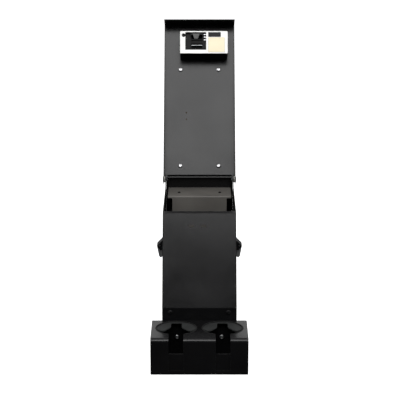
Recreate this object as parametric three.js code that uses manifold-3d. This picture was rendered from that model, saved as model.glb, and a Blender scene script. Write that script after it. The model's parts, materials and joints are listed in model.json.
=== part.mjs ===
// Ticket printer console: a narrow cabinet of folded steel with a sloping front and an open mouth,
// a tray lid with an armrest pad outside and a ticket printer inside, a double cup holder in front
// and a small strap loop on each side.
// Millimetres, +Z up, -Y towards the user. The origin is the middle of the cabinet's underside.
// The lid is drawn open, leaning back on its stop.

import * as THREE from 'three';
import { mergeVertices } from 'three/addons/utils/BufferGeometryUtils.js';
import Module from 'manifold-3d';

const wasm = await Module();
wasm.setup();

// ---------------------------------------------------------------- driving dimensions

const SHEET = 1.5; // steel sheet
const GAP = 0.3; // clearance between pieces that touch
const FOLD_RADIUS = 3; // outer radius of an ordinary fold
const FOLD_STEPS = 2;

// Cabinet
const CABINET_HALF = 90;
const DEPTH_HALF = 201;
const MOUTH_FRONT = -99; // where the sloping panel reaches the rim
const RIM_Z = 330;
const KNEE_Z = 119; // where the sloping panel meets the upright band
const RIM_RETURN = 14; // flange behind the front rim
const INNER_HALF = CABINET_HALF - SHEET - GAP; // half the width of what fits between the side panels
const BACK_TOP_Z = 349.7; // the back panel's top edge is the open lid's stop
const SLOT = { x: [-20, 10], z: 300, length: 14, width: 6 }; // the slots in the sloping panel
const BAND_SCREW = { x: 70, z: 109 };
const BACK_FLANGE = { reach: 12, z0: 18, z1: 318 };
const VENT = { rows: 5, z: 200, pitch: 14, half: 45, high: 5 }; // slots in the back panel
const GLAND = { x: 50, z: 60, radius: 7.9, bore: 3.5 };
const FLOOR = { rise: 15, holeX: 60, holeY: 150, holeRadius: 4.5 };

// Units under the shelf and on the floor plate
const SUPPLY = { half: 58, y0: 112, y1: 190, deep: 50, corner: 4 };
const SUPPLY_GROOVE = { count: 5, x: -42, pitch: 18, wide: 8, inset: 13, deep: 2 };
const BOARD = { half: 60, y0: 122, y1: 185, z: 10, thick: 1.6, inset: 6, pillar: 3 };
const CHIPS = [
  { x: [-48, 48], y: [170, 181], high: 11.5 }, // the terminal strip
  { x: [-14, 10], y: [140, 164], high: 2.5 },
  { x: [22, 40], y: [144, 158], high: 2 },
];

// Shelf inside the mouth
const SHELF = { half: 82, dropHalf: 70.5, front: 99, back: 198, top: 323, lip: 12, foot: 16, ledge: 6 };
const SHELF_SCREW = { x: 53, y: 136 };

// Lid. In its own frame t runs from the pivot to the free end and n points out of the tray's inside.
const PIVOT = { y: 187, z: 347 };
const LUG_RADIUS = 14;
const LUG_FOOT = 8; // how far the lug spreads at the rim
const LID_ANGLE = 116.4; // degrees from closed to open
const LID = { half: 95, rear: 9, length: 437, deep: 25, lip: 15, lipHalf: 86, ear: 12.5 };
const PAD_SCREW = { x: 51, t: [42, 310] };
const SMALL_HOLE = { x: -35, t: [171, 190], radius: 2.1 };
const PAD_BOARD = { half: 90, t0: 16, t1: 340, thick: 5, corner: 16 };
const PAD = { half: 98, t0: 9, t1: 347, thick: 23.4, corner: 24, round: 9 };

// Printer in the lid
const CASE = { x0: -52, x1: 75.6, t0: 340, t1: 402.4, back: -23.2, front: 28, wall: 2.5, corner: 2.5 };
const FACE_BACK = CASE.front - CASE.wall; // the face plate's back
const TONGUE = { t0: 350, t1: 393, thick: 0.9, deep: 4.5 }; // on the face plate, inside the case
const WINDOW = { x0: -38, x1: 18, t0: 350, t1: 399.6 };
const DOOR = { x0: 23.5, x1: 67.5, t0: 343.2, t1: 385, hingeT: 345, lip: 0.8, thick: 1.9 };
const PULL = { x0: 41, x1: 50, t0: 347, t1: 349, deep: 0.7 }; // a groove in the door
const DISPLAY = { x0: 23.5, x1: 57, t0: 386.2, t1: 399.6, back: 22, recess: 0.6 };
const BUTTON = { x: -42.5, t: 391, radius: 5, proud: 1.2, chamfer: 0.6, tall: 7 };
const TOWER = { left: [-41, -22], right: [8, 21], t0: 344, t1: 399.5, back: -4, front: 20 };
const BAY = { t: 361, floor: 2, chuteFloor: 12, ribs: [350, 356], rib: 1.5 }; // between the towers
const EAR = { wide: 3, t: 391, front: 24.3 };
const GEAR = { x0: -47.5, x1: -43.5, module: 0.7, depth: 0.55, play: 0.45 };
const TEETH = { platen: 24, idler: 22, pinion: 12 };
const PLATEN = { t: 373, n: 16, radius: 6, play: 0.6 };
const HEAD = { thick: 2.5, back: 5, proud: 1.5 };
const SPRING = { x0: 11.5, x1: 20.5, spine: 2, t: [379, 387, 394.4], wide: 1.8, thick: 1 };
const TEAR_BAR = { t: 364, wide: 1.2, back: 18.5, front: 22 };
const MOTOR = { radius: 7.5, length: 28 };
const LEVER = { x: -9, t: 396.5, n: 21, half: 9.5, tip: 382.5, tipHalf: 4.5, back: 22.6, front: 24.6 };
const LEVER_SLEEVE = 2.6;
const ROLL = { x0: 27, x1: 65, t: 364, n: 2, radius: 19, core: 8 };
const PARTITION = { x0: ROLL.x0 - 5.2, x1: ROLL.x0 - 3.7 };
const BOSS = { x0: ROLL.x1 + 3, radius: 6 }; // holds the roll's spindle

// Cup holder
const CUP = { half: 114.3, top: 88, back: -201.3, front: -334.3, bend: 10, lip: 51 };
const WELL = { x: 55, y: -256, radius: 50 };
const MUG_SLOT = { half: 17.5, bottom: 10 };
const CUP_SCREW = { x: 54, z: 47 };
const LINER = { half: 54, front: -56, back: 52, thick: 2.5, corner: 6, slot: -30 };
const TRIM_BEAD = 2.2;

// Strap loops on the side panels; the grip is counted from the bail's pivot
const STRAP = { y: -20, half: 17, pivot: [100, 228.5], legY: 11, legHalf: 2, grip: [-3, -28], gripRadius: 4 };
const STRAP_SLOT = { x0: -6, x1: 20, z: 40 };

// Pins, shanks and axles, as radii
const PIN_RADIUS = 4; // the lid's shoulder screws
const HINGE_HOLE = PIN_RADIUS + 0.4;
const THREAD_RADIUS = 3;
const CUP_SHANK = 3;
const BAND_SHANK = 2.5;
const SHELF_SHANK = 2;
const PAD_SHANK = 3;
const SPINDLE_END = 3;
const AXLE = 2.2; // the platen's
const LEVER_AXLE = 1.5;
const IDLER_STUB = 1.5;
const MOTOR_SHAFT = 1.2;
const STRAP_PIN = 2;
const THROUGH = 5; // how far a cut runs past a face

// ---------------------------------------------------------------- materials

const material = (color, roughness, metalness = 0) =>
  new THREE.MeshStandardMaterial({ color, roughness, metalness });

const blackPaint = material(0x1c1c1d, 0.45, 0.2);
const greyPaint = material(0x63615d, 0.55, 0.1);
const darkPlastic = material(0x171718, 0.5);
const greyPlastic = material(0x8b8b89, 0.5);
const whitePlastic = material(0xececea, 0.4);
const creamPlastic = material(0xf2e8c8, 0.5);
const blackGlass = material(0x0c0d10, 0.08);
const brightSteel = material(0xc9cbcd, 0.25, 0.95);
const steel = material(0x8d9092, 0.35, 0.9);
const castZinc = material(0x9a9c9d, 0.45, 0.8);
const blackRubber = material(0x141414, 0.8);
const greyRubber = material(0x3a3b3b, 0.8);
const padVinyl = material(0x1b1b1c, 0.6);
const plywood = material(0xa58a63, 0.8);
const paper = material(0xf5f4ee, 0.9);
const nylon = material(0xd9d8cf, 0.5);
const boardGreen = material(0x1f5a37, 0.6);

// ---------------------------------------------------------------- solids

// A closed three.js geometry as a solid that can be joined and cut.
function solid(geometry) {
  const bare = geometry.clone();
  bare.deleteAttribute('normal');
  bare.deleteAttribute('uv');
  const merged = mergeVertices(bare, 1e-4);
  const index = [];
  for (let i = 0; i < merged.index.count; i += 3) {
    const [a, b, c] = [0, 1, 2].map((k) => merged.index.getX(i + k));
    if (a !== b && b !== c && c !== a) index.push(a, b, c);
  }
  return new wasm.Manifold(new wasm.Mesh({
    numProp: 3,
    vertProperties: new Float32Array(merged.attributes.position.array),
    triVerts: new Uint32Array(index),
  }));
}

// A solid back as a three.js geometry.
function geometryOf(shape) {
  const mesh = shape.getMesh();
  const geometry = new THREE.BufferGeometry();
  geometry.setAttribute('position', new THREE.BufferAttribute(new Float32Array(mesh.vertProperties), 3));
  geometry.setIndex(new THREE.BufferAttribute(new Uint32Array(mesh.triVerts), 1));
  return geometry;
}

const join = (...parts) => parts.reduce((whole, part) => whole.add(part));
const cut = (whole, ...tools) => tools.reduce((rest, tool) => rest.subtract(tool), whole);

function block(x0, x1, y0, y1, z0, z1) {
  const geometry = new THREE.BoxGeometry(x1 - x0, y1 - y0, z1 - z0);
  return solid(geometry.translate((x0 + x1) / 2, (y0 + y1) / 2, (z0 + z1) / 2));
}

// A cylinder along an axis from one place to another; at holds its other two coordinates in order.
function rod(axis, from, to, at, radius, sides = 14) {
  const geometry = new THREE.CylinderGeometry(radius, radius, to - from, sides);
  const middle = (from + to) / 2;
  if (axis === 'x') geometry.rotateZ(-Math.PI / 2).translate(middle, at[0], at[1]);
  if (axis === 'y') geometry.translate(at[0], middle, at[1]);
  if (axis === 'z') geometry.rotateX(Math.PI / 2).translate(at[0], at[1], middle);
  return solid(geometry);
}

// Where an extrusion's outline and depth point for each axis.
const AXES = {
  x: new THREE.Matrix4().makeBasis(
    new THREE.Vector3(0, 1, 0), new THREE.Vector3(0, 0, 1), new THREE.Vector3(1, 0, 0)),
  y: new THREE.Matrix4().makeBasis(
    new THREE.Vector3(1, 0, 0), new THREE.Vector3(0, 0, 1), new THREE.Vector3(0, -1, 0)),
  z: new THREE.Matrix4(),
};

// An outline in (y, z), (x, z) or (x, y), extruded along x, y or z, with optional round edges.
function prism(axis, outline, from, to, { round = 0, steps = 2, curve = 4 } = {}) {
  const geometry = new THREE.ExtrudeGeometry(outline, {
    depth: to - from - 2 * round,
    curveSegments: curve,
    bevelEnabled: round > 0,
    bevelThickness: round,
    bevelSize: round,
    bevelOffset: -round,
    bevelSegments: steps,
  });
  const start = axis === 'y' ? -to : from;
  return solid(geometry.translate(0, 0, start + round).applyMatrix4(AXES[axis]));
}

const polygon = (points) => new THREE.Shape(points.map(([a, b]) => new THREE.Vector2(a, b)));

// A rectangle with round corners.
function rounded(a0, a1, b0, b1, radius) {
  const shape = new THREE.Shape();
  shape.moveTo(a0 + radius, b0);
  shape.absarc(a1 - radius, b0 + radius, radius, -Math.PI / 2, 0);
  shape.absarc(a1 - radius, b1 - radius, radius, 0, Math.PI / 2);
  shape.absarc(a0 + radius, b1 - radius, radius, Math.PI / 2, Math.PI);
  shape.absarc(a0 + radius, b0 + radius, radius, Math.PI, 1.5 * Math.PI);
  return shape;
}

// The section of a folded sheet. The points follow its outer face, with the sheet on their left, and
// each fold is an arc with the given outer radius.
function folded(points, radius = FOLD_RADIUS, steps = FOLD_STEPS) {
  const centreOfTurn = new THREE.Vector2();
  const face = [];
  const inside = [];
  const add = (point, normal) => {
    face.push(point);
    inside.unshift(point.clone().addScaledVector(normal, SHEET));
  };
  const leftOf = (direction) => new THREE.Vector2(-direction.y, direction.x);
  const corners = points.map(([a, b]) => new THREE.Vector2(a, b));
  corners.forEach((corner, i) => {
    const incoming = corner.clone().sub(corners[i - 1] ?? corner).normalize();
    const outgoing = (corners[i + 1] ?? corner).clone().sub(corner).normalize();
    if (i === 0 || i === corners.length - 1) {
      add(corner, leftOf(i === 0 ? outgoing : incoming));
      return;
    }
    const turn = Math.atan2(incoming.cross(outgoing), incoming.dot(outgoing));
    const faceRadius = turn > 0 ? radius : radius - SHEET;
    const normal = leftOf(incoming);
    const centre = corner.clone()
      .addScaledVector(incoming, -faceRadius * Math.tan(Math.abs(turn) / 2))
      .addScaledVector(normal, faceRadius * Math.sign(turn));
    for (let step = 0; step <= steps; step++) {
      const turned = normal.clone().rotateAround(centreOfTurn, (turn * step) / steps);
      add(centre.clone().addScaledVector(turned, -faceRadius * Math.sign(turn)), turned);
    }
  });
  return new THREE.Shape([...face, ...inside]);
}

// A turned piece about +Z from (radius, height) points that start and end on the axis or close up.
function turnedPiece(points, sides = 12) {
  return new THREE.LatheGeometry(points.map(([r, z]) => new THREE.Vector2(r, z)), sides).rotateX(Math.PI / 2);
}

// A round-headed screw along +Z with a hex socket; its head's seat is at z = 0 and its shank below.
function screwGeometry(headRadius, headHeight, shankRadius, shankLength) {
  const head = turnedPiece([
    [0, -shankLength], [shankRadius, -shankLength], [shankRadius, 0], [headRadius, 0],
    [headRadius, headHeight * 0.35], [headRadius * 0.8, headHeight * 0.85],
    [headRadius * 0.5, headHeight], [0, headHeight],
  ]);
  const socketRadius = headRadius * 0.4;
  const socket = new THREE.CylinderGeometry(socketRadius, socketRadius, headHeight, 6);
  socket.rotateX(Math.PI / 2).translate(0, 0, headHeight * 0.95);
  return geometryOf(cut(solid(head), solid(socket)));
}

// ---------------------------------------------------------------- scene graph

const machine = new THREE.Group();
const SIDES = [['left', -1], ['right', 1]];

function place(parent, name, shape, look) {
  const mesh = new THREE.Mesh(shape.isBufferGeometry ? shape : geometryOf(shape), look);
  mesh.name = name;
  parent.add(mesh);
  return mesh;
}

// A span along X on one side of the machine, given by its distances from the middle.
const span = (side, inner, outer) => (side < 0 ? [-outer, -inner] : [inner, outer]);

// ---------------------------------------------------------------- cabinet

function buildSidePanel(side) {
  const outline = new THREE.Shape();
  outline.moveTo(-DEPTH_HALF, 0);
  outline.lineTo(DEPTH_HALF, 0);
  outline.absarc(PIVOT.y, PIVOT.z, LUG_RADIUS, 0, Math.PI);
  outline.lineTo(PIVOT.y - LUG_RADIUS - LUG_FOOT, RIM_Z);
  outline.lineTo(MOUTH_FRONT, RIM_Z);
  outline.lineTo(-DEPTH_HALF, KNEE_Z);
  const [x0, x1] = span(side, CABINET_HALF - SHEET, CABINET_HALF);
  const plate = prism('x', outline, x0, x1, { curve: 12 });
  return cut(plate, rod('x', x0 - 1, x1 + 1, [PIVOT.y, PIVOT.z], HINGE_HOLE));
}

function buildFrontPanel() {
  const section = folded([
    [MOUTH_FRONT + RIM_RETURN, RIM_Z], [MOUTH_FRONT, RIM_Z], [-DEPTH_HALF, KNEE_Z], [-DEPTH_HALF, 0],
  ]);
  const across = [-DEPTH_HALF - THROUGH, -DEPTH_HALF + THROUGH];
  const holes = SLOT.x.map((x) => {
    const outline = rounded(x - SLOT.length / 2, x + SLOT.length / 2,
      SLOT.z - SLOT.width / 2, SLOT.z + SLOT.width / 2, SLOT.width / 2 - 0.1);
    return prism('y', outline, -DEPTH_HALF, MOUTH_FRONT);
  });
  for (const [, side] of SIDES) {
    holes.push(rod('y', ...across, [side * CUP_SCREW.x, CUP_SCREW.z], CUP_SHANK + GAP, 12));
    holes.push(rod('y', ...across, [side * BAND_SCREW.x, BAND_SCREW.z], BAND_SHANK + GAP, 12));
  }
  return cut(prism('x', section, -INNER_HALF, INNER_HALF), ...holes);
}

function buildBackPanel() {
  const flangeY = DEPTH_HALF - BACK_FLANGE.reach;
  const channel = folded([
    [INNER_HALF, flangeY], [INNER_HALF, DEPTH_HALF], [-INNER_HALF, DEPTH_HALF], [-INNER_HALF, flangeY],
  ]);
  const plate = block(-INNER_HALF, INNER_HALF, DEPTH_HALF - SHEET, DEPTH_HALF, 0, BACK_TOP_Z);
  const across = [DEPTH_HALF - THROUGH, DEPTH_HALF + THROUGH];
  const vents = [];
  for (let row = 0; row < VENT.rows; row++) {
    const z = VENT.z + row * VENT.pitch;
    const outline = rounded(-VENT.half, VENT.half, z, z + VENT.high, VENT.high / 2 - 0.1);
    vents.push(prism('y', outline, ...across, { curve: 2 }));
  }
  const gland = rod('y', ...across, [GLAND.x, GLAND.z], GLAND.radius + GAP, 24);
  return cut(join(prism('z', channel, BACK_FLANGE.z0, BACK_FLANGE.z1), plate), ...vents, gland);
}

function buildBasePlate() {
  const { rise, holeX, holeY, holeRadius } = FLOOR;
  const section = folded([[-INNER_HALF, rise], [-INNER_HALF, 0], [INNER_HALF, 0], [INNER_HALF, rise]]);
  const reach = DEPTH_HALF - SHEET - GAP;
  const holes = [];
  for (const x of [-holeX, holeX]) {
    for (const y of [-holeY, holeY]) holes.push(rod('z', -THROUGH, THROUGH, [x, y], holeRadius));
  }
  return cut(prism('y', section, -reach, reach), ...holes);
}

function buildShelf() {
  const section = folded([
    [SHELF.back, SHELF.top - SHELF.lip], [SHELF.back, SHELF.top], [SHELF.front, SHELF.top],
    [SHELF.front, SHEET + GAP], [SHELF.front + SHELF.foot, SHEET + GAP],
  ]);
  const cuts = [];
  for (const [, side] of SIDES) {
    const [x0, x1] = span(side, SHELF.dropHalf, SHELF.half + 1);
    cuts.push(block(x0, x1, SHELF.front - 1, SHELF.front + SHELF.foot + 1, 0, SHELF.top - SHELF.ledge));
    const screw = [side * SHELF_SCREW.x, SHELF_SCREW.y];
    cuts.push(rod('z', SHELF.top - THROUGH, SHELF.top + THROUGH, screw, SHELF_SHANK + GAP, 12));
  }
  return cut(prism('x', section, -SHELF.half, SHELF.half), ...cuts);
}

function buildPowerSupply() {
  const top = SHELF.top - SHEET - GAP;
  const bottom = top - SUPPLY.deep;
  const { half, y0, y1, corner } = SUPPLY;
  const body = prism('z', rounded(-half, half, y0, y1, corner), bottom, top, { curve: 3 });
  const cuts = SIDES.map(([, side]) =>
    rod('z', top - 2 * THROUGH, top + 1, [side * SHELF_SCREW.x, SHELF_SCREW.y], SHELF_SHANK + GAP, 12));
  const { count, pitch, wide, inset, deep } = SUPPLY_GROOVE;
  for (let i = 0; i < count; i++) {
    const x = SUPPLY_GROOVE.x + i * pitch;
    cuts.push(block(x, x + wide, y0 + inset, y1 - inset, bottom - 1, bottom + deep));
  }
  return cut(body, ...cuts);
}

function buildControlBoard() {
  const { half, y0, y1, z, thick, inset, pillar } = BOARD;
  const top = z + thick;
  const parts = CHIPS.map((chip) => block(...chip.x, ...chip.y, top - 0.6, top + chip.high));
  for (const x of [inset - half, half - inset]) {
    for (const y of [y0 + inset, y1 - inset]) {
      parts.push(rod('z', SHEET + GAP, z + 0.5, [x, y], pillar, 12));
    }
  }
  return join(block(-half, half, y0, y1, z, top), ...parts);
}

function buildGland() {
  const { radius, bore } = GLAND;
  const flange = radius + 3.1;
  const profile = turnedPiece([
    [0, -12], [radius - 0.9, -12], [radius, -11], [radius, GAP], [flange, GAP], [flange, 6],
    [flange - 1.5, 7], [flange - 1.5, 14], [radius - 0.9, 18], [0, 18],
  ], 12);
  const hole = new THREE.CylinderGeometry(bore, bore, 60, 12).rotateX(Math.PI / 2);
  return cut(solid(profile), solid(hole));
}

// ---------------------------------------------------------------- hinge

// A shoulder screw along +Z: its low head's seat is at z = 0.
const shoulderLength = LID.half + GAP - CABINET_HALF + SHEET;
const hingeScrew = turnedPiece([
  [0, -shoulderLength - 4], [THREAD_RADIUS, -shoulderLength - 4], [THREAD_RADIUS, -shoulderLength],
  [PIN_RADIUS, -shoulderLength], [PIN_RADIUS, 0], [7.5, 0], [7.5, 0.9], [6.3, 1.5], [0, 1.5],
], 12);

// A ring along X with any number of sides.
function ring(x0, x1, at, outerRadius, innerRadius, sides = 18) {
  return cut(rod('x', x0, x1, at, outerRadius, sides), rod('x', x0 - 1, x1 + 1, at, innerRadius, 18));
}

place(machine, 'front_panel', buildFrontPanel(), blackPaint);
place(machine, 'back_panel', buildBackPanel(), blackPaint);
place(machine, 'base_plate', buildBasePlate(), blackPaint);
place(machine, 'inner_shelf', buildShelf(), greyPaint);
place(machine, 'power_supply', buildPowerSupply(), darkPlastic);
place(machine, 'control_board', buildControlBoard(), boardGreen);
const gland = place(machine, 'cable_gland', buildGland(), darkPlastic);
gland.position.set(GLAND.x, DEPTH_HALF, GLAND.z);
gland.rotation.x = -Math.PI / 2;

const shelfScrew = screwGeometry(3.8, 2.4, SHELF_SHANK, 9);
const bandScrew = screwGeometry(5, 2.8, BAND_SHANK, 8);
for (const [word, side] of SIDES) {
  place(machine, `side_panel_${word}`, buildSidePanel(side), blackPaint);
  const shelfHead = place(machine, `shelf_screw_${word}`, shelfScrew, darkPlastic);
  shelfHead.position.set(side * SHELF_SCREW.x, SHELF_SCREW.y, SHELF.top + GAP);
  const bandHead = place(machine, `front_screw_${word}`, bandScrew, blackPaint);
  bandHead.position.set(side * BAND_SCREW.x, -DEPTH_HALF - GAP, BAND_SCREW.z);
  bandHead.rotation.x = Math.PI / 2;

  const pivot = [PIVOT.y, PIVOT.z];
  const screw = place(machine, `hinge_screw_${word}`, hingeScrew, steel);
  screw.position.set(side * (LID.half + GAP), ...pivot);
  screw.rotation.y = (side * Math.PI) / 2;
  const spacer = span(side, CABINET_HALF + GAP, LID.half - SHEET - GAP);
  place(machine, `hinge_spacer_${word}`, ring(...spacer, pivot, 8, HINGE_HOLE), nylon);
  const nut = span(side, CABINET_HALF - SHEET - GAP - 2.6, CABINET_HALF - SHEET - GAP);
  place(machine, `hinge_nut_${word}`, ring(...nut, pivot, 6.4, THREAD_RADIUS + GAP, 6), steel);
}

// ---------------------------------------------------------------- lid

const lid = new THREE.Group();
lid.position.set(0, PIVOT.y, PIVOT.z);
lid.rotation.x = -THREE.MathUtils.degToRad(LID_ANGLE);
machine.add(lid);

// The lid's pieces are drawn with the lid closed: y = -t and z = -n.
const spot = (t, n) => [-t, -n];
const lidBlock = (x0, x1, t0, t1, n0, n1) => block(x0, x1, -t1, -t0, -n1, -n0);
const lidRod = (x0, x1, [t, n], radius, sides = 14) => rod('x', x0, x1, spot(t, n), radius, sides);
const lidPlate = (o, corner, n0, n1) =>
  prism('z', rounded(o.x0, o.x1, -o.t1, -o.t0, corner), -n1, -n0, { curve: 3 });
const lidHole = (x, t, n, radius) => rod('z', -n - 6, -n + 6, [x, -t], radius, 12);

function buildLidShell() {
  const section = folded([
    [-LID.rear, -LID.lip], [-LID.rear, LID.deep], [-LID.length, LID.deep], [-LID.length, -LID.deep],
  ]);
  const ear = LID.ear;
  const wall = new THREE.Shape();
  wall.moveTo(-LID.length, -LID.deep);
  wall.absarc(0, -LID.deep + ear, ear, -Math.PI / 2, 0);
  wall.absarc(0, LID.deep - ear, ear, 0, Math.PI / 2);
  wall.absarc(-LID.length + FOLD_RADIUS, LID.deep - FOLD_RADIUS, FOLD_RADIUS, Math.PI / 2, Math.PI);
  const pieces = [prism('x', section, -LID.half, LID.half)];
  const cuts = [lidRod(-LID.half - 5, LID.half + 5, [0, 0], HINGE_HOLE, 24)];
  for (const [, side] of SIDES) {
    pieces.push(prism('x', wall, ...span(side, LID.half - SHEET, LID.half)));
    const notch = span(side, LID.lipHalf, LID.half - SHEET);
    cuts.push(lidBlock(...notch, LID.rear - 1, LID.rear + FOLD_RADIUS, SHEET - LID.deep, LID.lip + 1));
    for (const t of PAD_SCREW.t) cuts.push(lidHole(side * PAD_SCREW.x, t, -LID.deep, PAD_SHANK + GAP));
  }
  for (const t of SMALL_HOLE.t) cuts.push(lidHole(SMALL_HOLE.x, t, -LID.deep, SMALL_HOLE.radius));
  return cut(join(...pieces), ...cuts);
}

const BOARD_TOP = LID.deep + GAP + PAD_BOARD.thick;

function buildPadBoard() {
  const { half, t0, t1, corner } = PAD_BOARD;
  const board = prism('z', rounded(-half, half, -t1, -t0, corner), LID.deep + GAP, BOARD_TOP);
  const holes = PAD_SCREW.t.flatMap((t) =>
    SIDES.map(([, side]) => lidHole(side * PAD_SCREW.x, t, -LID.deep, PAD_SHANK + GAP)));
  return cut(board, ...holes);
}

function buildPad() {
  const outline = rounded(-PAD.half, PAD.half, -PAD.t1, -PAD.t0, PAD.corner);
  return prism('z', outline, BOARD_TOP + GAP, BOARD_TOP + GAP + PAD.thick, { round: PAD.round });
}

place(lid, 'lid_shell', buildLidShell(), blackPaint);
place(lid, 'pad_board', buildPadBoard(), plywood);
place(lid, 'armrest_pad', buildPad(), padVinyl);
const padScrew = screwGeometry(5.25, 3, PAD_SHANK, 6.5);
PAD_SCREW.t.forEach((t, row) => {
  for (const [word, side] of SIDES) {
    const screw = place(lid, `pad_screw_${row ? 'upper' : 'lower'}_${word}`, padScrew, brightSteel);
    screw.position.set(side * PAD_SCREW.x, -t, LID.deep - SHEET - GAP);
    screw.rotation.x = Math.PI;
  }
});

// ---------------------------------------------------------------- printer

// The case: a frame open against the lid and towards the face plate, with a partition and a boss.
function buildPrinterCase() {
  const { x0, x1, t0, t1, back, wall, corner } = CASE;
  const front = FACE_BACK - GAP;
  const shell = cut(
    lidPlate(CASE, corner, back, front),
    lidBlock(x0 + wall, x1 - wall, t0 + wall, t1 - wall, back - 1, front + 1),
  );
  const partition = lidBlock(PARTITION.x0, PARTITION.x1, t0 + 1, t1 - 1, back, front);
  const boss = lidRod(BOSS.x0, x1 - 1, [ROLL.t, ROLL.n], BOSS.radius);
  const spindle = lidRod(PARTITION.x0 - 1, x1 - wall, [ROLL.t, ROLL.n], SPINDLE_END + GAP);
  return cut(join(shell, partition, boss), spindle);
}

// The face plate, with a tongue inside each end of the case.
function buildPrinterFace() {
  const { x0, x1, front, wall, corner } = CASE;
  const deep = [FACE_BACK - TONGUE.deep, FACE_BACK + 1];
  const tongues = [x0 + wall + GAP, x1 - wall - GAP - TONGUE.thick].map((x) =>
    lidBlock(x, x + TONGUE.thick, TONGUE.t0, TONGUE.t1, ...deep));
  const through = [FACE_BACK - 1, front + 1];
  return cut(
    join(lidPlate(CASE, corner, FACE_BACK, front), ...tongues),
    ...[WINDOW, DOOR, DISPLAY].map((opening) => lidPlate(opening, 1, ...through)),
    lidHole(BUTTON.x, BUTTON.t, front, BUTTON.radius + GAP),
  );
}

// Two towers on a back plate, with a chute below, a deep bay above it and ears for the lever.
function buildMechanismFrame() {
  const { left, right, t0, t1, back, front } = TOWER;
  const open = front + 2 * THROUGH;
  const whole = lidBlock(left[0], right[1], t0, t1, back, front);
  const bay = lidBlock(left[1], right[0], BAY.t, t1 + 1, BAY.floor, open);
  const chute = lidBlock(left[1], right[0], t0 - 1, BAY.t + 1, BAY.chuteFloor, open);
  const ears = [left[1] - EAR.wide, right[0]].map((x) =>
    lidBlock(x, x + EAR.wide, EAR.t, t1, front - 1, EAR.front));
  const ribs = BAY.ribs.map((t) =>
    lidBlock(left[1] - 1, right[0] + 1, t, t + BAY.rib, BAY.chuteFloor - 1, BAY.chuteFloor + 1));
  return cut(
    join(cut(whole, bay, chute), ...ears, ...ribs),
    lidRod(left[0] - 1, right[0] + THROUGH + 1, [PLATEN.t, PLATEN.n], AXLE + GAP),
    lidRod(left[0] - 1, left[0] + 4, idlerCentre, IDLER_STUB + GAP),
    lidRod(left[1] - 4, right[0] + 4, [LEVER.t, LEVER.n], LEVER_AXLE + GAP),
  );
}

// The gears stand in line behind the platen: its own gear, the idler and the motor's pinion.
const gearReach = (a, b) => ((a + b) * GEAR.module) / 2 + GEAR.play;
const platenCentre = [PLATEN.t, PLATEN.n];
const idlerCentre = [PLATEN.t, PLATEN.n - gearReach(TEETH.platen, TEETH.idler)];
const pinionCentre = [PLATEN.t, idlerCentre[1] - gearReach(TEETH.idler, TEETH.pinion)];

// A gear with wave-shaped teeth; a tooth tip points at the given angle from the line of centres.
function buildGear(teeth, [t, n], tip, bore) {
  const pitch = (teeth * GEAR.module) / 2;
  const stations = teeth * 4;
  const [y, z] = spot(t, n);
  const points = [];
  for (let i = 0; i < stations; i++) {
    const angle = (i / stations) * 2 * Math.PI;
    const radius = pitch + GEAR.depth * Math.cos(teeth * (angle - Math.PI / 2 - tip));
    points.push([y + radius * Math.cos(angle), z + radius * Math.sin(angle)]);
  }
  const wheel = prism('x', polygon(points), GEAR.x0, GEAR.x1);
  return bore ? cut(wheel, lidRod(GEAR.x0 - 1, GEAR.x1 + 1, [t, n], bore)) : wheel;
}

// Each follower turns a gap towards the gear before it.
const gapBackwards = (teeth) => Math.PI + Math.PI / teeth;
const idlerTip = gapBackwards(TEETH.idler);
const idlerStep = (idlerTip * TEETH.idler) % (2 * Math.PI); // the idler's tooth phase on its far side
const pinionTip = gapBackwards(TEETH.pinion) + idlerStep / TEETH.pinion;

const SHAFT_END = GEAR.x0 - 0.5;

function buildPlaten() {
  const [left, right] = [TOWER.left[1] + PLATEN.play, TOWER.right[0] - PLATEN.play];
  const sleeve = lidRod(left, right, platenCentre, PLATEN.radius, 20);
  return join(sleeve, lidRod(SHAFT_END, TOWER.right[0] + THROUGH, platenCentre, AXLE));
}

function buildIdler() {
  const wheel = buildGear(TEETH.idler, idlerCentre, idlerTip);
  return join(wheel, lidRod(SHAFT_END, TOWER.left[0] + 3.5, idlerCentre, IDLER_STUB));
}

function buildPinion() {
  const wheel = buildGear(TEETH.pinion, pinionCentre, pinionTip);
  return join(wheel, lidRod(SHAFT_END, TOWER.left[0] + 2, pinionCentre, MOTOR_SHAFT));
}

function buildMotor() {
  const body = lidRod(TOWER.left[0], TOWER.left[0] + MOTOR.length, pinionCentre, MOTOR.radius, 20);
  return cut(body, lidRod(TOWER.left[0] - 1, TOWER.left[0] + 3, pinionCentre, MOTOR_SHAFT + GAP));
}

function buildPrintHead() {
  const [left, right] = [TOWER.left[1] + GAP, TOWER.right[0] - GAP];
  const t0 = PLATEN.t + PLATEN.radius + GAP;
  return lidBlock(left, right, t0, t0 + HEAD.thick, HEAD.back, TOWER.front + HEAD.proud);
}

// A comb of leaf spring on the right tower.
function buildHeadSpring() {
  const { x0, x1, spine, t, wide, thick } = SPRING;
  const depth = [TOWER.front + GAP, TOWER.front + GAP + thick];
  const back = lidBlock(x1 - spine, x1, t[0], t[t.length - 1] + wide, ...depth);
  return join(back, ...t.map((low) => lidBlock(x0, x1, low, low + wide, ...depth)));
}

function buildTearBar() {
  const [left, right] = [TOWER.left[1] + GAP, TOWER.right[0] - GAP];
  return lidBlock(left, right, TEAR_BAR.t, TEAR_BAR.t + TEAR_BAR.wide, TEAR_BAR.back, TEAR_BAR.front);
}

function buildLever() {
  const { x, t, n, half, tip, tipHalf, back, front } = LEVER;
  const plate = polygon([[x - half, -t], [x + half, -t], [x + tipHalf, -tip], [x - tipHalf, -tip]]);
  return join(
    prism('z', plate, -front, -back),
    lidRod(x - half, x + half, [t, n], LEVER_SLEEVE),
    lidRod(TOWER.left[1] - EAR.wide, TOWER.right[0] + EAR.wide, [t, n], LEVER_AXLE),
  );
}

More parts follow.
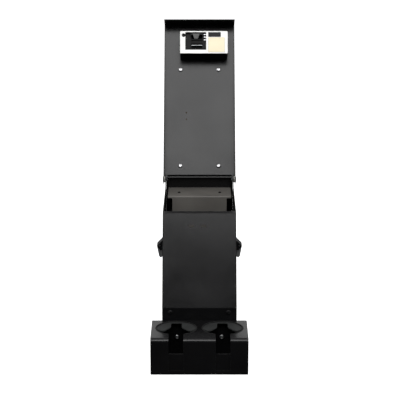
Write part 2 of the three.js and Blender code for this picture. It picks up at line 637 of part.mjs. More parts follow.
function buildDoor() {
  const { x0, x1, t1, hingeT, lip, thick } = DOOR;
  const plate = { x0: x0 + GAP, x1: x1 - GAP, t0: hingeT - lip, t1: t1 - GAP };
  const face = CASE.front - GAP;
  return cut(lidPlate(plate, 0.6, face - thick, face), lidPlate(PULL, 0.8, face - PULL.deep, face + 1));
}

function buildButton() {
  const { x, t, radius, proud, chamfer, tall } = BUTTON;
  const face = -CASE.front - proud;
  const cap = turnedPiece([
    [0, face], [radius - chamfer, face], [radius, face + chamfer], [radius, face + tall], [0, face + tall],
  ]);
  return solid(cap.translate(x, -t, 0));
}

function buildDisplay() {
  const { x0, x1, t0, t1, back, recess } = DISPLAY;
  const outline = { x0: x0 + GAP, x1: x1 - GAP, t0: t0 + GAP, t1: t1 - GAP };
  return lidPlate(outline, 0.8, back, CASE.front - recess);
}

function buildSpindle() {
  const at = [ROLL.t, ROLL.n];
  const core = lidRod(ROLL.x0 - 1, ROLL.x1 + 1, at, ROLL.core);
  return join(core, lidRod(PARTITION.x0 - GAP, CASE.x1 - CASE.wall - GAP, at, SPINDLE_END));
}

const printer = {
  printer_case: [buildPrinterCase(), darkPlastic],
  printer_face: [buildPrinterFace(), whitePlastic],
  mechanism_frame: [buildMechanismFrame(), darkPlastic],
  platen_roller: [buildPlaten(), blackRubber],
  platen_gear: [buildGear(TEETH.platen, platenCentre, 0, AXLE + GAP), nylon],
  idler_gear: [buildIdler(), nylon],
  drive_pinion: [buildPinion(), brightSteel],
  feed_motor: [buildMotor(), steel],
  print_head: [buildPrintHead(), darkPlastic],
  head_spring: [buildHeadSpring(), brightSteel],
  tear_bar: [buildTearBar(), steel],
  release_lever: [buildLever(), greyPlastic],
  paper_door: [buildDoor(), creamPlastic],
  display_window: [buildDisplay(), blackGlass],
  feed_button: [buildButton(), darkPlastic],
  paper_roll: [ring(ROLL.x0, ROLL.x1, spot(ROLL.t, ROLL.n), ROLL.radius, ROLL.core + GAP, 24), paper],
  roll_spindle: [buildSpindle(), darkPlastic],
};
for (const [name, [shape, look]] of Object.entries(printer)) place(lid, name, shape, look);

// ---------------------------------------------------------------- cup holder

function buildCupCover() {
  const section = folded(
    [[CUP.back, CUP.top], [CUP.front, CUP.top], [CUP.front, 0]], CUP.bend, 8);
  const cuts = SIDES.flatMap(([, side]) => {
    const x = side * WELL.x;
    return [
      rod('z', CUP.top - 5, CUP.top + 5, [x, WELL.y], WELL.radius, 40),
      block(x - MUG_SLOT.half, x + MUG_SLOT.half, CUP.front - 5, WELL.y, MUG_SLOT.bottom, CUP.top + 5),
    ];
  });
  return cut(prism('x', section, -CUP.half, CUP.half), ...cuts);
}

const TRAY_FRONT = CUP.front + SHEET + GAP;
const TRAY_HALF = CUP.half - 2 * SHEET;

function buildCupTray() {
  const back = CUP.back - GAP;
  const top = CUP.top - SHEET - GAP;
  const section = folded([[TRAY_FRONT, CUP.lip], [TRAY_FRONT, 0], [back, 0], [back, top]]);
  const holes = SIDES.map(([, side]) =>
    rod('y', back - 5, back + 5, [side * CUP_SCREW.x, CUP_SCREW.z], CUP_SHANK + GAP, 12));
  return cut(prism('x', section, -TRAY_HALF, TRAY_HALF), ...holes);
}

function buildCupSide(side) {
  const radius = CUP.bend - SHEET - GAP;
  const top = CUP.top - SHEET - GAP;
  const outline = new THREE.Shape();
  outline.moveTo(TRAY_FRONT, 0);
  outline.lineTo(CUP.back - GAP, 0);
  outline.lineTo(CUP.back - GAP, top);
  outline.absarc(TRAY_FRONT + radius, top - radius, radius, Math.PI / 2, Math.PI);
  return prism('x', outline, ...span(side, TRAY_HALF + GAP, TRAY_HALF + GAP + SHEET));
}

// A rubber sheet below a well: a keyhole in it leaves two flaps that grip the cup.
function buildLiner() {
  const sheet = rounded(-LINER.half, LINER.half, LINER.front, LINER.back, LINER.corner);
  const hole = new THREE.Path();
  hole.moveTo(12.7, 14);
  hole.lineTo(12.7, 37);
  hole.absarc(7.7, 37, 5, 0, Math.PI / 2);
  hole.absarc(-7.7, 37, 5, Math.PI / 2, Math.PI);
  hole.lineTo(-12.7, 14);
  hole.quadraticCurveTo(-15, 4, -20, 0);
  hole.quadraticCurveTo(-27, -14, -34, -15);
  hole.quadraticCurveTo(-43, -12, -47, 1);
  hole.absarc(0, 0, WELL.radius - 0.5, Math.PI + 0.05, 2 * Math.PI - 0.05);
  hole.lineTo(47, 1);
  hole.quadraticCurveTo(43, -12, 34, -15);
  hole.quadraticCurveTo(27, -14, 20, 0);
  hole.quadraticCurveTo(15, 4, 12.7, 14);
  sheet.holes.push(hole);
  const slot = block(-MUG_SLOT.half, MUG_SLOT.half, LINER.front - 1, LINER.slot, -1, LINER.thick + 1);
  return cut(prism('z', sheet, 0, LINER.thick), slot);
}

// A rubber edge round a well, open at the mug slot.
function buildTrim() {
  const outer = WELL.radius - GAP;
  const inner = outer - TRIM_BEAD;
  const edge = cut(rod('z', 0, TRIM_BEAD, [0, 0], outer, 40), rod('z', -1, TRIM_BEAD + 1, [0, 0], inner, 40));
  const half = MUG_SLOT.half;
  return cut(edge, block(-half, half, -outer - 1, 0, -1, TRIM_BEAD + 1));
}

place(machine, 'cup_cover', buildCupCover(), blackPaint);
place(machine, 'cup_tray', buildCupTray(), blackPaint);
const cupScrew = screwGeometry(5.5, 3.2, CUP_SHANK, 8);
for (const [word, side] of SIDES) {
  const underTop = CUP.top - SHEET - GAP;
  place(machine, `cup_side_${word}`, buildCupSide(side), blackPaint);
  const liner = place(machine, `cup_liner_${word}`, buildLiner(), greyRubber);
  liner.position.set(side * WELL.x, WELL.y, underTop - LINER.thick);
  const trim = place(machine, `cup_trim_${word}`, buildTrim(), blackRubber);
  trim.position.set(side * WELL.x, WELL.y, underTop + GAP);
  const screw = place(machine, `cup_screw_${word}`, cupScrew, brightSteel);
  screw.position.set(side * CUP_SCREW.x, CUP.back - SHEET - 2 * GAP, CUP_SCREW.z);
  screw.rotation.x = Math.PI / 2;
}

// ---------------------------------------------------------------- strap loops

// An outline in (x, z) counted from the bail's pivot, drawn for the right side about y = 0.
const aboutPivot = (points) => polygon(points.map(([x, z]) => [STRAP.pivot[0] + x, STRAP.pivot[1] + z]));
const strapRod = (half, radius) => rod('y', -half, half, STRAP.pivot, radius, 12);

// The block is a wedge with two slots for the bail's legs.
function buildStrapBlock() {
  const wall = CABINET_HALF + GAP - STRAP.pivot[0];
  const wedge = aboutPivot([[wall, -9], [-2.5, -12], [7, -1], [wall, 16]]);
  const [x, z] = STRAP.pivot;
  const half = STRAP.legHalf + GAP;
  const slots = [-STRAP.legY, STRAP.legY].map((y) =>
    block(x + STRAP_SLOT.x0, x + STRAP_SLOT.x1, y - half, y + half, z - STRAP_SLOT.z, z + STRAP_SLOT.z));
  return cut(prism('y', wedge, -STRAP.half, STRAP.half), ...slots, strapRod(STRAP.half + 1, STRAP_PIN + GAP));
}

function buildBail() {
  const leg = aboutPivot([
    [-4.6, 0.5], [-4.8, -13], [-7.5, -20], [-7, -28], [-3, -32.2], [1.5, -28.5], [6.4, -2.5], [3, 1], [-2, 5],
  ]);
  const legs = [-STRAP.legY, STRAP.legY].map((y) =>
    prism('y', leg, y - STRAP.legHalf, y + STRAP.legHalf));
  const grip = [STRAP.pivot[0] + STRAP.grip[0], STRAP.pivot[1] + STRAP.grip[1]];
  const bar = rod('y', -STRAP.legY, STRAP.legY, grip, STRAP.gripRadius, 12);
  return cut(join(...legs, bar), strapRod(STRAP.half + 1, STRAP_PIN + GAP));
}

for (const [word, side] of SIDES) {
  const fitting = new THREE.Group();
  fitting.position.y = STRAP.y;
  if (side < 0) fitting.rotation.z = Math.PI;
  machine.add(fitting);
  place(fitting, `strap_block_${word}`, buildStrapBlock(), darkPlastic);
  place(fitting, `strap_bail_${word}`, buildBail(), castZinc);
  place(fitting, `strap_pin_${word}`, strapRod(STRAP.half - 0.5, STRAP_PIN), steel);
}

export default machine;
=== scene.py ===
"""Looks of the ticket printer console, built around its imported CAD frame. Metres, +Z up, -Y to the front."""
import json
import math

import bmesh
import bpy
from mathutils import Matrix, Vector


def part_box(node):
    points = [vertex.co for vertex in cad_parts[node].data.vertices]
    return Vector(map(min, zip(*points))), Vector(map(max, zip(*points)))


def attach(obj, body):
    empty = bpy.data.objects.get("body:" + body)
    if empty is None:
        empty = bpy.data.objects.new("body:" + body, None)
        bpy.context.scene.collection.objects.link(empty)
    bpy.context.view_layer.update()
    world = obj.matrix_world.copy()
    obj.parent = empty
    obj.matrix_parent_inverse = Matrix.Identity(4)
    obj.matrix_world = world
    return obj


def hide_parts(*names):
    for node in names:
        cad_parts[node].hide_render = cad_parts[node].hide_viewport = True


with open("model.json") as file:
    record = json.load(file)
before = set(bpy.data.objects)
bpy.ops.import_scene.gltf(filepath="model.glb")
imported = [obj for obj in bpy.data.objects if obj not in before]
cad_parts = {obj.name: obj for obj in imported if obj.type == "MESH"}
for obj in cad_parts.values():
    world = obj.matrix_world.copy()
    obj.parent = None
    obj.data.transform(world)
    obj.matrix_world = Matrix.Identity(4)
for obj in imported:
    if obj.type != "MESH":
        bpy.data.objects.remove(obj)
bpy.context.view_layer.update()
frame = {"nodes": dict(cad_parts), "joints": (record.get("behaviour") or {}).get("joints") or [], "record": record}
NODES = frame["nodes"]
RECORD = frame["record"]
NODE_SLOT = {part["node"]: part["material_slot"] for part in RECORD["subparts"]}
SLOT_COLOUR = {m["slot"]: m["base_color"] for m in RECORD["materials"]}
NODE_BODY = {node: body for body, nodes in RECORD["behaviour"]["bodies"].items() for node in nodes}
SIDES = ("left", "right")

# ------------------------------------------------------------------ frame of the open lid

LID_JOINT = next(j for j in frame["joints"] if j["name"] == "lid_hinge")
PIVOT = Vector(LID_JOINT["pos_m"])
OPEN = math.radians(LID_JOINT["range_deg"][1])
UP_LID = Vector((0, -math.cos(OPEN), math.sin(OPEN)))  # from the hinge to the lid's free end
OUT_LID = Vector((0, -math.sin(OPEN), -math.cos(OPEN)))  # out of the tray's hollow side


def lid_point(x, t, n):
    """A point of the open lid: across, up from the hinge and out of the tray, in metres."""
    return PIVOT + Vector((x, 0, 0)) + UP_LID * t + OUT_LID * n


# ------------------------------------------------------------------ materials

class Nodes:
    """A short way to write one procedural material."""

    def __init__(self, name):
        self.material = bpy.data.materials.new(name)
        self.material.use_nodes = True
        self.tree = self.material.node_tree
        self.shader = self.tree.nodes["Principled BSDF"]
        self.place = self.add("ShaderNodeTexCoord").outputs["Object"]

    def add(self, kind, inputs=None, **settings):
        node = self.tree.nodes.new(kind)
        for key, value in settings.items():
            setattr(node, key, value)
        for key, value in (inputs or {}).items():
            if isinstance(value, bpy.types.NodeSocket):
                self.tree.links.new(value, node.inputs[key])
            else:
                node.inputs[key].default_value = value
        return node

    def noise(self, scale, detail=3.0, roughness=0.55, stretch=None):
        vector = self.place
        if stretch:
            vector = self.add("ShaderNodeMapping", {"Vector": self.place, "Scale": stretch}).outputs[0]
        inputs = {"Vector": vector, "Scale": scale, "Detail": detail, "Roughness": roughness}
        return self.add("ShaderNodeTexNoise", inputs).outputs["Fac"]

    def ramp(self, factor, low, high, start=0.3, end=0.7):
        inputs = {"Value": factor, "From Min": start, "From Max": end, "To Min": low, "To Max": high}
        return self.add("ShaderNodeMapRange", inputs).outputs["Result"]

    def mix(self, factor, a, b):
        node = self.add("ShaderNodeMix", data_type="RGBA")
        for socket, value in ((node.inputs[0], factor), (node.inputs[6], a), (node.inputs[7], b)):
            if isinstance(value, bpy.types.NodeSocket):
                self.tree.links.new(value, socket)
            else:
                socket.default_value = value
        return node.outputs[2]

    def bump(self, height, distance, strength=1.0, below=None):
        inputs = {"Height": height, "Distance": distance, "Strength": strength}
        if below is not None:
            inputs["Normal"] = below
        return self.add("ShaderNodeBump", inputs).outputs[0]

    def edge_wear_and_highlight(self):
        """1 on the object's own edges and 0 on its faces: the mask of the edges' wear and painted highlight."""
        rounded = self.add("ShaderNodeBevel", {"Radius": EDGE_WEAR_AND_HIGHLIGHT_RADIUS}, samples=4).outputs[0]
        flat = self.add("ShaderNodeNewGeometry").outputs["Normal"]
        same = self.add("ShaderNodeVectorMath", {0: rounded, 1: flat}, operation="DOT_PRODUCT")
        return self.ramp(same.outputs["Value"], 1.0, 0.0, 0.8, 0.99)

    def finish(self, **sockets):
        for key, value in sockets.items():
            name = key.replace("_", " ")
            if isinstance(value, bpy.types.NodeSocket):
                self.tree.links.new(value, self.shader.inputs[name])
            else:
                self.shader.inputs[name].default_value = value
        return self.material

    def specular(self, level):
        self.shader.inputs["Specular IOR Level"].default_value = level


def colour(slot, gain=1.0):
    return (*(min(1.0, c * gain) for c in SLOT_COLOUR[slot][:3]), 1.0)


PEEL_DEPTH = 0.00004
EDGE_WEAR_AND_HIGHLIGHT_RADIUS = 0.0009


def powder_coat(slot, roughness=(0.2, 0.27), specular=0.26, gain=0.4):
    """Baked powder: a fine orange peel, slow changes in gloss and a little dust, lighter on the edges as wear and
    a painted highlight.
    """
    n = Nodes(slot)
    peel = n.noise(950, 2.0)
    cloud = n.noise(11, 4.0)
    grit = n.noise(3200, 1.0)
    base = n.mix(n.ramp(cloud, 0.0, 1.0), colour(slot, gain * 0.8), colour(slot, gain * 1.2))
    dust = n.ramp(n.noise(60, 6.0, 0.7), 0.0, 0.006, 0.55, 0.85)
    base = n.mix(dust, base, (0.45, 0.44, 0.42, 1))
    # the edges are mixed towards a lighter grey: part wear, part a painted highlight along the bends
    wear_and_highlight = n.ramp(n.edge_wear_and_highlight(), 0.0, 0.06, 0.0, 1.0)
    base = n.mix(wear_and_highlight, base, (0.3, 0.3, 0.3, 1))
    normal = n.bump(grit, PEEL_DEPTH * 0.4, 0.5, n.bump(peel, PEEL_DEPTH))
    n.specular(specular)
    gloss = n.ramp(cloud, *roughness)
    return n.finish(Base_Color=base, Roughness=gloss, Normal=normal)


def moulded(slot, roughness=0.45, grain=0.00004, specular=0.4, spread=0.08, gain=1.0):
    """Moulded plastic: spark-eroded grain and faint flow marks."""
    n = Nodes(slot)
    grain_height = n.noise(2200, 2.0)
    flow = n.noise(22, 3.0, 0.5, (1, 1, 3))
    low, high = colour(slot, gain * (1 - spread)), colour(slot, gain * (1 + spread))
    base = n.mix(n.ramp(flow, 0.0, 1.0), low, high)
    n.specular(specular)
    gloss = n.ramp(n.noise(70, 3.0), roughness - 0.06, roughness + 0.06)
    return n.finish(Base_Color=base, Roughness=gloss, Normal=n.bump(grain_height, grain))


def metal(slot, roughness=0.25, stretch=(1, 1, 1), streak=0.00003, gain=1.0):
    """Plated or plain steel: fine machining streaks and handled patches."""
    n = Nodes(slot)
    lines = n.noise(600, 3.0, 0.6, stretch)
    patch = n.noise(90, 4.0)
    base = n.mix(n.ramp(patch, 0.0, 1.0), colour(slot, 0.9 * gain), colour(slot, 1.1 * gain))
    gloss = n.ramp(patch, roughness - 0.06, roughness + 0.1)
    return n.finish(Base_Color=base, Metallic=1.0, Roughness=gloss, Normal=n.bump(lines, streak))


def cast_metal(slot):
    """Die-cast zinc: a pitted skin, darker in its pits."""
    n = Nodes(slot)
    skin = n.noise(420, 5.0, 0.7)
    base = n.mix(n.ramp(skin, 0.0, 1.0), colour(slot, 0.8), colour(slot, 1.15))
    gloss = n.ramp(skin, 0.38, 0.6)
    return n.finish(Base_Color=base, Metallic=0.85, Roughness=gloss, Normal=n.bump(skin, 0.0001))


def rubber(slot, roughness=0.75, gain=1.0):
    """Rubber: matt, with a cloth-like imprint and dusty bloom."""
    n = Nodes(slot)
    imprint = n.add("ShaderNodeTexVoronoi", {"Vector": n.place, "Scale": 900}).outputs["Distance"]
    bloom = n.noise(45, 5.0, 0.65)
    base = n.mix(n.ramp(bloom, 0.0, 1.0), colour(slot, 0.8 * gain), colour(slot, 1.35 * gain))
    n.specular(0.25)
    gloss = n.ramp(bloom, roughness - 0.08, roughness + 0.1)
    return n.finish(Base_Color=base, Roughness=gloss, Normal=n.bump(imprint, 0.00007))


def vinyl(slot):
    """Grained vinyl: pebbled cells of two sizes, with a painted sheen that makes the cells' middles lighter and
    their rims darker, and glossier handled patches.
    """
    n = Nodes(slot)
    big = n.add("ShaderNodeTexVoronoi", {"Vector": n.place, "Scale": 420}).outputs["Distance"]
    small = n.add("ShaderNodeTexVoronoi", {"Vector": n.place, "Scale": 1100}).outputs["Distance"]
    handled = n.noise(14, 4.0)
    # painted sheen: the cells' middles lighter and their rims darker in colour
    base = n.mix(n.ramp(big, 0.0, 1.0, 0.0, 0.6), colour(slot, 1.3), colour(slot, 0.8))
    gloss = n.ramp(handled, 0.42, 0.62)
    normal = n.bump(small, 0.00005, 0.6, n.bump(big, 0.00016))
    return n.finish(Base_Color=base, Roughness=gloss, Normal=normal)


def wood(slot):
    """Stained plywood: long grain in a dark brown."""
    n = Nodes(slot)
    grain = n.noise(120, 6.0, 0.6, (6, 1, 1))
    base = n.mix(n.ramp(grain, 0.0, 1.0), colour(slot, 0.12), colour(slot, 0.22))
    return n.finish(Base_Color=base, Roughness=n.ramp(grain, 0.6, 0.8), Normal=n.bump(grain, 0.0001))


def wound_paper(slot):
    """A paper roll: the edges of its turns show as fine rings."""
    n = Nodes(slot)
    fibre = n.noise(1500, 4.0)
    turns = n.noise(1800, 1.0, 0.5, (0.02, 1, 1))
    base = n.mix(n.ramp(turns, 0.0, 1.0), colour(slot, 0.9), colour(slot, 1.0))
    return n.finish(Base_Color=base, Roughness=n.ramp(fibre, 0.8, 0.95), Normal=n.bump(fibre, 0.00003))


def dark_window(slot):
    """A glossy black window with a faint ripple and smudges."""
    n = Nodes(slot)
    smudge = n.noise(60, 5.0, 0.7)
    base = n.mix(n.ramp(smudge, 0.0, 1.0), colour(slot, 0.3), colour(slot, 0.6))
    n.specular(0.08)
    return n.finish(Base_Color=base, Roughness=n.ramp(smudge, 0.05, 0.16), Normal=n.bump(smudge, 0.00001))


MATERIALS = {
    "black_paint": powder_coat("black_paint"),
    "grey_paint": powder_coat("grey_paint", (0.4, 0.5), 0.4, gain=0.75),
    "dark_plastic": moulded("dark_plastic", 0.5, specular=0.12, gain=0.5),
    "grey_plastic": moulded("grey_plastic", 0.45, specular=0.25, gain=0.32),
    "white_plastic": moulded("white_plastic", 0.38, 0.00002, 0.45, 0.015),
    "cream_plastic": moulded("cream_plastic", 0.5, 0.00003, 0.35, 0.03),
    "black_window": dark_window("black_window"),
    "bright_steel": metal("bright_steel", 0.3, gain=0.7),
    "steel": metal("steel", 0.35, (1, 8, 1)),
    "cast_zinc": cast_metal("cast_zinc"),
    "black_rubber": rubber("black_rubber"),
    "grey_rubber": rubber("grey_rubber", 0.7, 0.45),
    "pad_vinyl": vinyl("pad_vinyl"),
    "plywood": wood("plywood"),
    "paper": wound_paper("paper"),
    "nylon": moulded("nylon", 0.5, 0.00002, 0.4, 0.04),
    "board_green": moulded("board_green", 0.4, 0.00003, 0.5, 0.2),
}


def dress(piece, slot):
    piece.data.materials.clear()
    piece.data.materials.append(MATERIALS[slot])


# ------------------------------------------------------------------ pieces

def link(name, mesh):
    piece = bpy.data.objects.new(name, mesh)
    bpy.context.scene.collection.objects.link(piece)
    return piece


def apply_modifiers(piece):
    """The piece's evaluated mesh becomes its own mesh, and its modifiers go."""
    graph = bpy.context.evaluated_depsgraph_get()
    mesh = bpy.data.meshes.new_from_object(
        piece.evaluated_get(graph), preserve_all_data_layers=True, depsgraph=graph)
    piece.modifiers.clear()
    piece.data = mesh


def settle(piece, node):
    """The piece stands for a CAD node: it rides on its body and wears its slot."""
    dress(piece, NODE_SLOT[node])
    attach(piece, NODE_BODY[node])
    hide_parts(node)


FLAT_ANGLE = math.radians(0.6)
EDGE_ANGLE = math.radians(35)
HEAD_ANGLE = math.radians(40)  # the screw heads' sharpest smooth edge
WELD = 2e-6
BROKEN_EDGE = 1  # the material index that marks the faces the bevel makes
FACET_RATIO = 3.0  # a plane is this much larger than the facets of a curve beside it


def smooth(mesh, angle=EDGE_ANGLE):
    for polygon in mesh.polygons:
        polygon.use_smooth = True
    mesh.set_sharp_from_angle(angle=angle)


def planes(bm):
    """The flat regions of a solid, each with its faces, its area and the regions it runs smoothly into."""
    region = {}
    regions = []
    for seed in bm.faces:
        if seed in region:
            continue
        faces = [seed]
        region[seed] = len(regions)
        for face in faces:
            for edge in face.edges:
                for other in edge.link_faces:
                    if other not in region and edge.calc_face_angle(0) < FLAT_ANGLE:
                        region[other] = len(regions)
                        faces.append(other)
        regions.append(faces)
    beside = [set() for _ in regions]
    for edge in bm.edges:
        if len(edge.link_faces) == 2 and FLAT_ANGLE <= edge.calc_face_angle(0) < EDGE_ANGLE:
            a, b = (region[face] for face in edge.link_faces)
            beside[a].add(b)
            beside[b].add(a)
    areas = [sum(face.calc_area() for face in faces) for faces in regions]
    return regions, areas, beside


def mark_curves(bm):
    """Shades the curved regions smooth and leaves the planes flat."""
    regions, areas, beside = planes(bm)
    for faces, area, others in zip(regions, areas, beside):
        curved = any(area < FACET_RATIO * areas[other] for other in others)
        for face in faces:
            face.smooth = curved
            face.material_index = 0


def softened(node, width):
    """A CAD node's own solid, with its planes exact and its edges broken by a small round."""
    bm = bmesh.new()
    bm.from_mesh(NODES[node].data)
    bmesh.ops.remove_doubles(bm, verts=bm.verts, dist=WELD)
    mark_curves(bm)
    mesh = bpy.data.meshes.new(node + "_body")
    bm.to_mesh(mesh)
    bm.free()
    mesh.materials.append(None)
    mesh.materials.append(None)
    piece = link(node + "_body", mesh)
    bevel = piece.modifiers.new("edges", "BEVEL")
    bevel.width = width
    bevel.segments = 2
    bevel.limit_method = "ANGLE"
    bevel.angle_limit = EDGE_ANGLE
    bevel.loop_slide = False
    bevel.material = BROKEN_EDGE
    apply_modifiers(piece)
    bm = bmesh.new()
    bm.from_mesh(piece.data)
    for edge in bm.edges:
        edge.smooth = len({face.material_index for face in edge.link_faces}) == 1
    for face in bm.faces:
        if face.material_index == BROKEN_EDGE:
            face.smooth = True
        face.material_index = 0
    bm.to_mesh(piece.data)
    bm.free()
    settle(piece, node)


SHEET_EDGE = 0.0003
SINGLES = {"front_panel": SHEET_EDGE, "back_panel": SHEET_EDGE, "base_plate": SHEET_EDGE,
           "inner_shelf": SHEET_EDGE, "lid_shell": SHEET_EDGE, "cup_cover": SHEET_EDGE,
           "cup_tray": SHEET_EDGE, "mechanism_frame": SHEET_EDGE, "release_lever": SHEET_EDGE,
           "paper_door": SHEET_EDGE, "cable_gland": SHEET_EDGE}
PAIRS = {"side_panel": SHEET_EDGE, "cup_side": SHEET_EDGE, "cup_liner": SHEET_EDGE, "cup_trim": SHEET_EDGE,
         "strap_block": 0.0006, "strap_bail": 0.0006}
SMALL = {"printer_case": 0.0005, "printer_face": 0.0005, "print_head": 0.0002, "tear_bar": 0.0002,
         "head_spring": 0.0001, "display_window": 0.0002, "power_supply": 0.0004, "pad_board": 0.0004}
EDGE = SINGLES | {f"{stem}_{side}": width for stem, width in PAIRS.items() for side in SIDES} | SMALL


# ------------------------------------------------------------------ screws

SCREW_SIDES = 48
HEX_SIDES = 6
SOCKET = 0.36  # of the head's radius, to the socket's flats
SOCKET_MOUTH = 1.22  # of the socket
SOCKET_DEPTH = 0.6  # of the head's height
DOME = ((0.97, 1.0), (1.0, 0.9), (1.0, 0.62), (0.97, 0.5), (0.88, 0.26), (0.72, 0.09), (0.56, 0.01))


def hex_radius(angle, across):
    """The radius of a hexagon with the given inner radius, at an angle."""
    sector = 2 * math.pi / HEX_SIDES
    return across / math.cos((angle + sector / 2) % sector - sector / 2)


def button_screw(node, axis):
    """A domed head with a bevelled rim and a hex socket, as large as the CAD head, facing along axis."""
    low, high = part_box(node)
    axis = Vector(axis).normalized()
    points = [v.co for v in NODES[node].data.vertices]
    top = max(p.dot(axis) for p in points)
    centre = (low + high) / 2
    centre += axis * (top - centre.dot(axis))
    radius = max(((p - centre) - axis * (p - centre).dot(axis)).length for p in points)
    rim = [p for p in points if ((p - centre) - axis * (p - centre).dot(axis)).length > 0.95 * radius]
    seat = min(p.dot(axis) for p in rim)
    height = top - seat
    socket = radius * SOCKET
    angles = [2 * math.pi * i / SCREW_SIDES for i in range(SCREW_SIDES)]
    rings = [([radius * wide for _ in angles], -height * down) for wide, down in DOME]
    rings.append(([socket * SOCKET_MOUTH for _ in angles], 0.0))
    rings.append(([hex_radius(a, socket) for a in angles], -height * 0.07))
    rings.append(([hex_radius(a, socket * 0.97) for a in angles], -height * SOCKET_DEPTH))
    bm = bmesh.new()
    loops = []
    for radii, z in rings:
        points = [(r * math.cos(a), r * math.sin(a), z) for r, a in zip(radii, angles)]
        loops.append([bm.verts.new(point) for point in points])
    for a, b in zip(loops, loops[1:]):
        for i in range(SCREW_SIDES):
            j = (i + 1) % SCREW_SIDES
            bm.faces.new((a[i], a[j], b[j], b[i]))
    bm.faces.new(list(reversed(loops[0])))
    bm.faces.new(loops[-1])
    bmesh.ops.recalc_face_normals(bm, faces=bm.faces)
    mesh = bpy.data.meshes.new(node + "_head")
    bm.to_mesh(mesh)
    bm.free()
    smooth(mesh, HEAD_ANGLE)
    piece = link(node + "_head", mesh)
    turn = Vector((0, 0, 1)).rotation_difference(axis).to_matrix().to_4x4()
    piece.matrix_world = Matrix.Translation(centre) @ turn
    settle(piece, node)


FRONT = (0, -1, 0)
SCREWS = {"cup_screw": FRONT, "front_screw": FRONT, "shelf_screw": (0, 0, 1)}


# ------------------------------------------------------------------ armrest pad

PAD_VOXEL = 0.005
PAD_FRAMES = 20
PAD_PRESSURE = 4.0
PAD_CAP = 0.007
PAD_STIFFNESS = 12
PAD_SHRINK = {"across": 0.955, "along": 0.975, "up": 0.28}  # room for the pad to swell
PAD_HELD = 0.0025  # the height above the board that stays put


def inflate(piece, pinned):
    """Blows the piece up as cloth, with the pinned vertices held, and keeps the shape."""
    held = piece.vertex_groups.new(name="held")
    held.add(pinned, 1.0, "REPLACE")
    cloth = piece.modifiers.new("cloth", "CLOTH")
    settings = cloth.settings
    settings.quality = 6
    settings.use_pressure = True
    settings.uniform_pressure_force = PAD_PRESSURE
    settings.tension_stiffness = PAD_STIFFNESS
    settings.compression_stiffness = PAD_STIFFNESS
    settings.effector_weights.gravity = 0
    settings.vertex_group_mass = "held"
    cloth.point_cache.frame_start = 1
    cloth.point_cache.frame_end = PAD_FRAMES
    for number in range(1, PAD_FRAMES + 1):
        bpy.context.scene.frame_set(number)
    apply_modifiers(piece)
    bpy.context.scene.frame_set(1)


def build_pad():
    """A crowned pad, flat where it rests on its board."""
    source = NODES["armrest_pad"].data
    piece = link("armrest_pad_cover", source.copy())
    heights = [(v.co - PIVOT).dot(-OUT_LID) for v in source.vertices]
    low = min(heights)
    middle = sum((v.co for v in source.vertices), Vector()) / len(source.vertices)
    for vertex in piece.data.vertices:
        height = (vertex.co - PIVOT).dot(-OUT_LID)
        vertex.co.x *= PAD_SHRINK["across"]
        along = (vertex.co - middle).dot(UP_LID)
        vertex.co += UP_LID * along * (PAD_SHRINK["along"] - 1)
        vertex.co += OUT_LID * (height - low) * PAD_SHRINK["up"]
    remesh = piece.modifiers.new("remesh", "REMESH")
    remesh.mode = "VOXEL"
    remesh.voxel_size = PAD_VOXEL
    apply_modifiers(piece)
    start = [v.co.copy() for v in piece.data.vertices]
    pinned = [v.index for v in piece.data.vertices if (v.co - PIVOT).dot(-OUT_LID) < low + PAD_HELD]
    inflate(piece, pinned)
    for vertex, before in zip(piece.data.vertices, start):
        move = vertex.co - before
        if move.length > PAD_CAP:
            vertex.co = before + move.normalized() * PAD_CAP
        height = (vertex.co - PIVOT).dot(-OUT_LID)
        if height < low:
            vertex.co += OUT_LID * (height - low)
    relax = piece.modifiers.new("relax", "SMOOTH")
    relax.iterations = 4
    finer = piece.modifiers.new("finer", "SUBSURF")
    finer.levels = finer.render_levels = 1
    apply_modifiers(piece)
    for vertex in piece.data.vertices:
        height = (vertex.co - PIVOT).dot(-OUT_LID)
        if height < low:
            vertex.co += OUT_LID * (height - low)
    for polygon in piece.data.polygons:
        polygon.use_smooth = True
    settle(piece, "armrest_pad")


# ------------------------------------------------------------------ build

for node, width in EDGE.items():
    softened(node, width)
for stem, axis in SCREWS.items():
    for side in SIDES:
        button_screw(f"{stem}_{side}", axis)
for row in ("lower", "upper"):
    for side in SIDES:
        button_screw(f"pad_screw_{row}_{side}", OUT_LID)
build_pad()
for node, piece in NODES.items():
    if not piece.hide_render:
        piece.data.materials.clear()
        piece.data.materials.append(MATERIALS[NODE_SLOT[node]])
        smooth(piece.data)

# ------------------------------------------------------------------ floor, light and camera

FLOOR_HALF = 12.0
FLOOR_GAP = 0.0004
FLOOR_GLOW = 0.8  # keeps the far floor as pale as the near one


def build_floor():
    bm = bmesh.new()
    bmesh.ops.create_grid(bm, x_segments=2, y_segments=2, size=FLOOR_HALF)
    mesh = bpy.data.meshes.new("floor")
    bm.to_mesh(mesh)
    bm.free()
    floor = link("floor", mesh)
    floor.location.z = -FLOOR_GAP
    floor.visible_glossy = False
    floor.visible_diffuse = False
    n = Nodes("floor")
    seen = n.add("ShaderNodeLightPath").outputs["Is Camera Ray"]
    glow = n.ramp(seen, 0.0, FLOOR_GLOW, 0.0, 1.0)
    tone = n.ramp(n.noise(0.8, 2.0), 0.0, 1.0)
    base = n.mix(tone, (0.9, 0.9, 0.9, 1), (0.93, 0.93, 0.93, 1))
    n.specular(0.0)
    white = (1, 1, 1, 1)
    n.finish(Base_Color=base, Roughness=0.9, Emission_Color=white, Emission_Strength=glow)
    floor.data.materials.append(n.material)


def area_light(name, place, target, size, power):
    data = bpy.data.lights.new(name, "AREA")
    data.shape = "RECTANGLE"
    data.size, data.size_y = size
    data.energy = power
    light = bpy.data.objects.new(name, data)
    bpy.context.scene.collection.objects.link(light)
    light.location = place
    light.rotation_euler = (Vector(target) - Vector(place)).to_track_quat("-Z", "Y").to_euler()


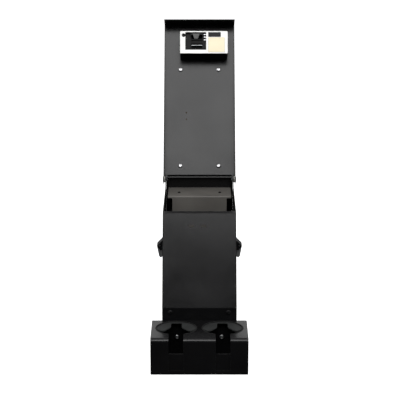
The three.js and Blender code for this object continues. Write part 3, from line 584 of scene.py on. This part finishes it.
WORLD_BEHIND = (0.1, 0.7, 0.05, 1.0)  # from and to, along Y, and the strength at each
WORLD_BESIDE = (0.55, 0.95, 0.0, 0.9)  # the same, along X to either side
WORLD_SEEN = 1.25


def build_world():
    """Pale to the eye, and in reflections bright behind and beside the object and dim in front of it."""
    world = bpy.data.worlds.new("studio")
    world.use_nodes = True
    bpy.context.scene.world = world
    tree = world.node_tree
    tree.nodes.clear()
    make = tree.nodes.new

    def brightness(value, limits):
        band = make("ShaderNodeMapRange")
        band.interpolation_type = "SMOOTHSTEP"
        for name, limit in zip(("From Min", "From Max", "To Min", "To Max"), limits):
            band.inputs[name].default_value = limit
        tree.links.new(value, band.inputs["Value"])
        return band.outputs["Result"]

    split = make("ShaderNodeSeparateXYZ")
    tree.links.new(make("ShaderNodeTexCoord").outputs["Generated"], split.inputs[0])
    across = make("ShaderNodeMath")
    across.operation = "ABSOLUTE"
    tree.links.new(split.outputs["X"], across.inputs[0])
    brighter = make("ShaderNodeMath")
    brighter.operation = "MAXIMUM"
    tree.links.new(brightness(split.outputs["Y"], WORLD_BEHIND), brighter.inputs[0])
    tree.links.new(brightness(across.outputs[0], WORLD_BESIDE), brighter.inputs[1])
    level = make("ShaderNodeMix")
    tree.links.new(make("ShaderNodeLightPath").outputs["Is Camera Ray"], level.inputs[0])
    tree.links.new(brighter.outputs[0], level.inputs[2])
    level.inputs[3].default_value = WORLD_SEEN
    shade = make("ShaderNodeBackground")
    tree.links.new(level.outputs[0], shade.inputs["Strength"])
    out = make("ShaderNodeOutputWorld")
    tree.links.new(shade.outputs[0], out.inputs["Surface"])


CAMERA_PLACE = (0.0014, -3.348, 1.172)
CAMERA_DIRECTION = (0, 0.9703, -0.2419)
CAMERA_LENS = 123.6
CAMERA_SENSOR = 36


def build_camera():
    data = bpy.data.cameras.new("camera")
    data.lens = CAMERA_LENS
    data.sensor_width = CAMERA_SENSOR
    camera = bpy.data.objects.new("camera", data)
    bpy.context.scene.collection.objects.link(camera)
    camera.location = CAMERA_PLACE
    camera.rotation_euler = Vector(CAMERA_DIRECTION).to_track_quat("-Z", "Y").to_euler()
    bpy.context.scene.camera = camera


KEY = {"place": (0, -2.4, 3.65), "target": (0, 0, 0.4), "size": (4.0, 2.4), "power": 175}
RIM = {"place": (3.2, -0.6, 1.9), "target": (0, 0, 0.35), "size": (3.2, 3.8), "power": 30}

build_floor()
build_world()
build_camera()
area_light("key", KEY["place"], KEY["target"], KEY["size"], KEY["power"])
for side in (-1, 1):
    x, y, z = RIM["place"]
    area_light("rim", (side * x, y, z), RIM["target"], RIM["size"], RIM["power"])
bpy.context.scene.view_settings.view_transform = "Standard"
